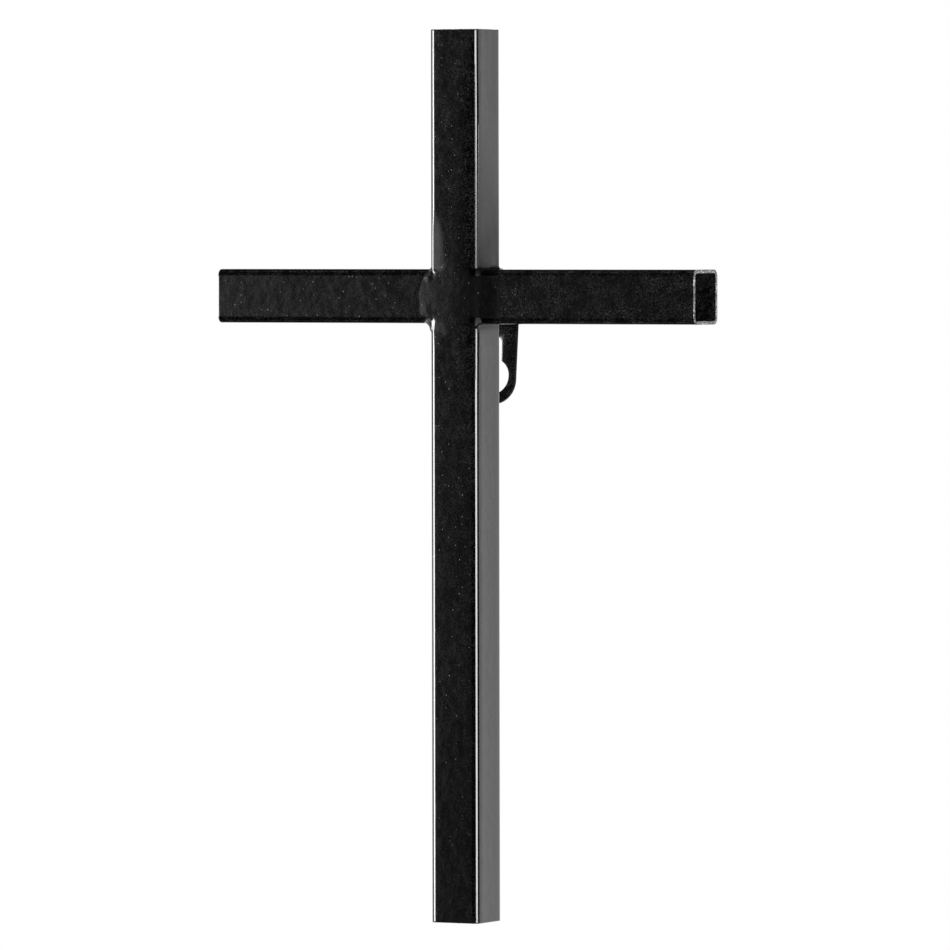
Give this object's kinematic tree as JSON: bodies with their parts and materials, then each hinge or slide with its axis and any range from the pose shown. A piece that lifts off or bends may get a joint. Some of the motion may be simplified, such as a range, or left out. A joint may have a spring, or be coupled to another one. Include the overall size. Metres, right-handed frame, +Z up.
{
  "type": "metal grave cross",
  "caption": "Plain Latin cross welded from square steel tube and painted gloss black, with open tube ends and a keyhole hanger strap behind the crossing.",
  "frame": {"origin": "centre of the round hanging hole, on the side of the hanger strap that faces the wall", "axes": "+Z up along the post; the cross faces -Y; +Y points to the wall it hangs on; +X is to the right of someone who looks at the front"},
  "size_m": [0.3, 0.0561, 0.5],
  "materials": {
    "black_gloss_paint": "gloss",
    "painted_weld": "gloss",
    "painted_strap": "satin"
  },
  "bodies": {
    "root": {"post": "black_gloss_paint", "arm_left": "black_gloss_paint", "arm_right": "black_gloss_paint", "weld_left": "painted_weld", "weld_right": "painted_weld", "hanger": "painted_strap", "hanger_weld_upper": "painted_weld", "hanger_weld_lower": "painted_weld"}
  },
  "joints": []
}
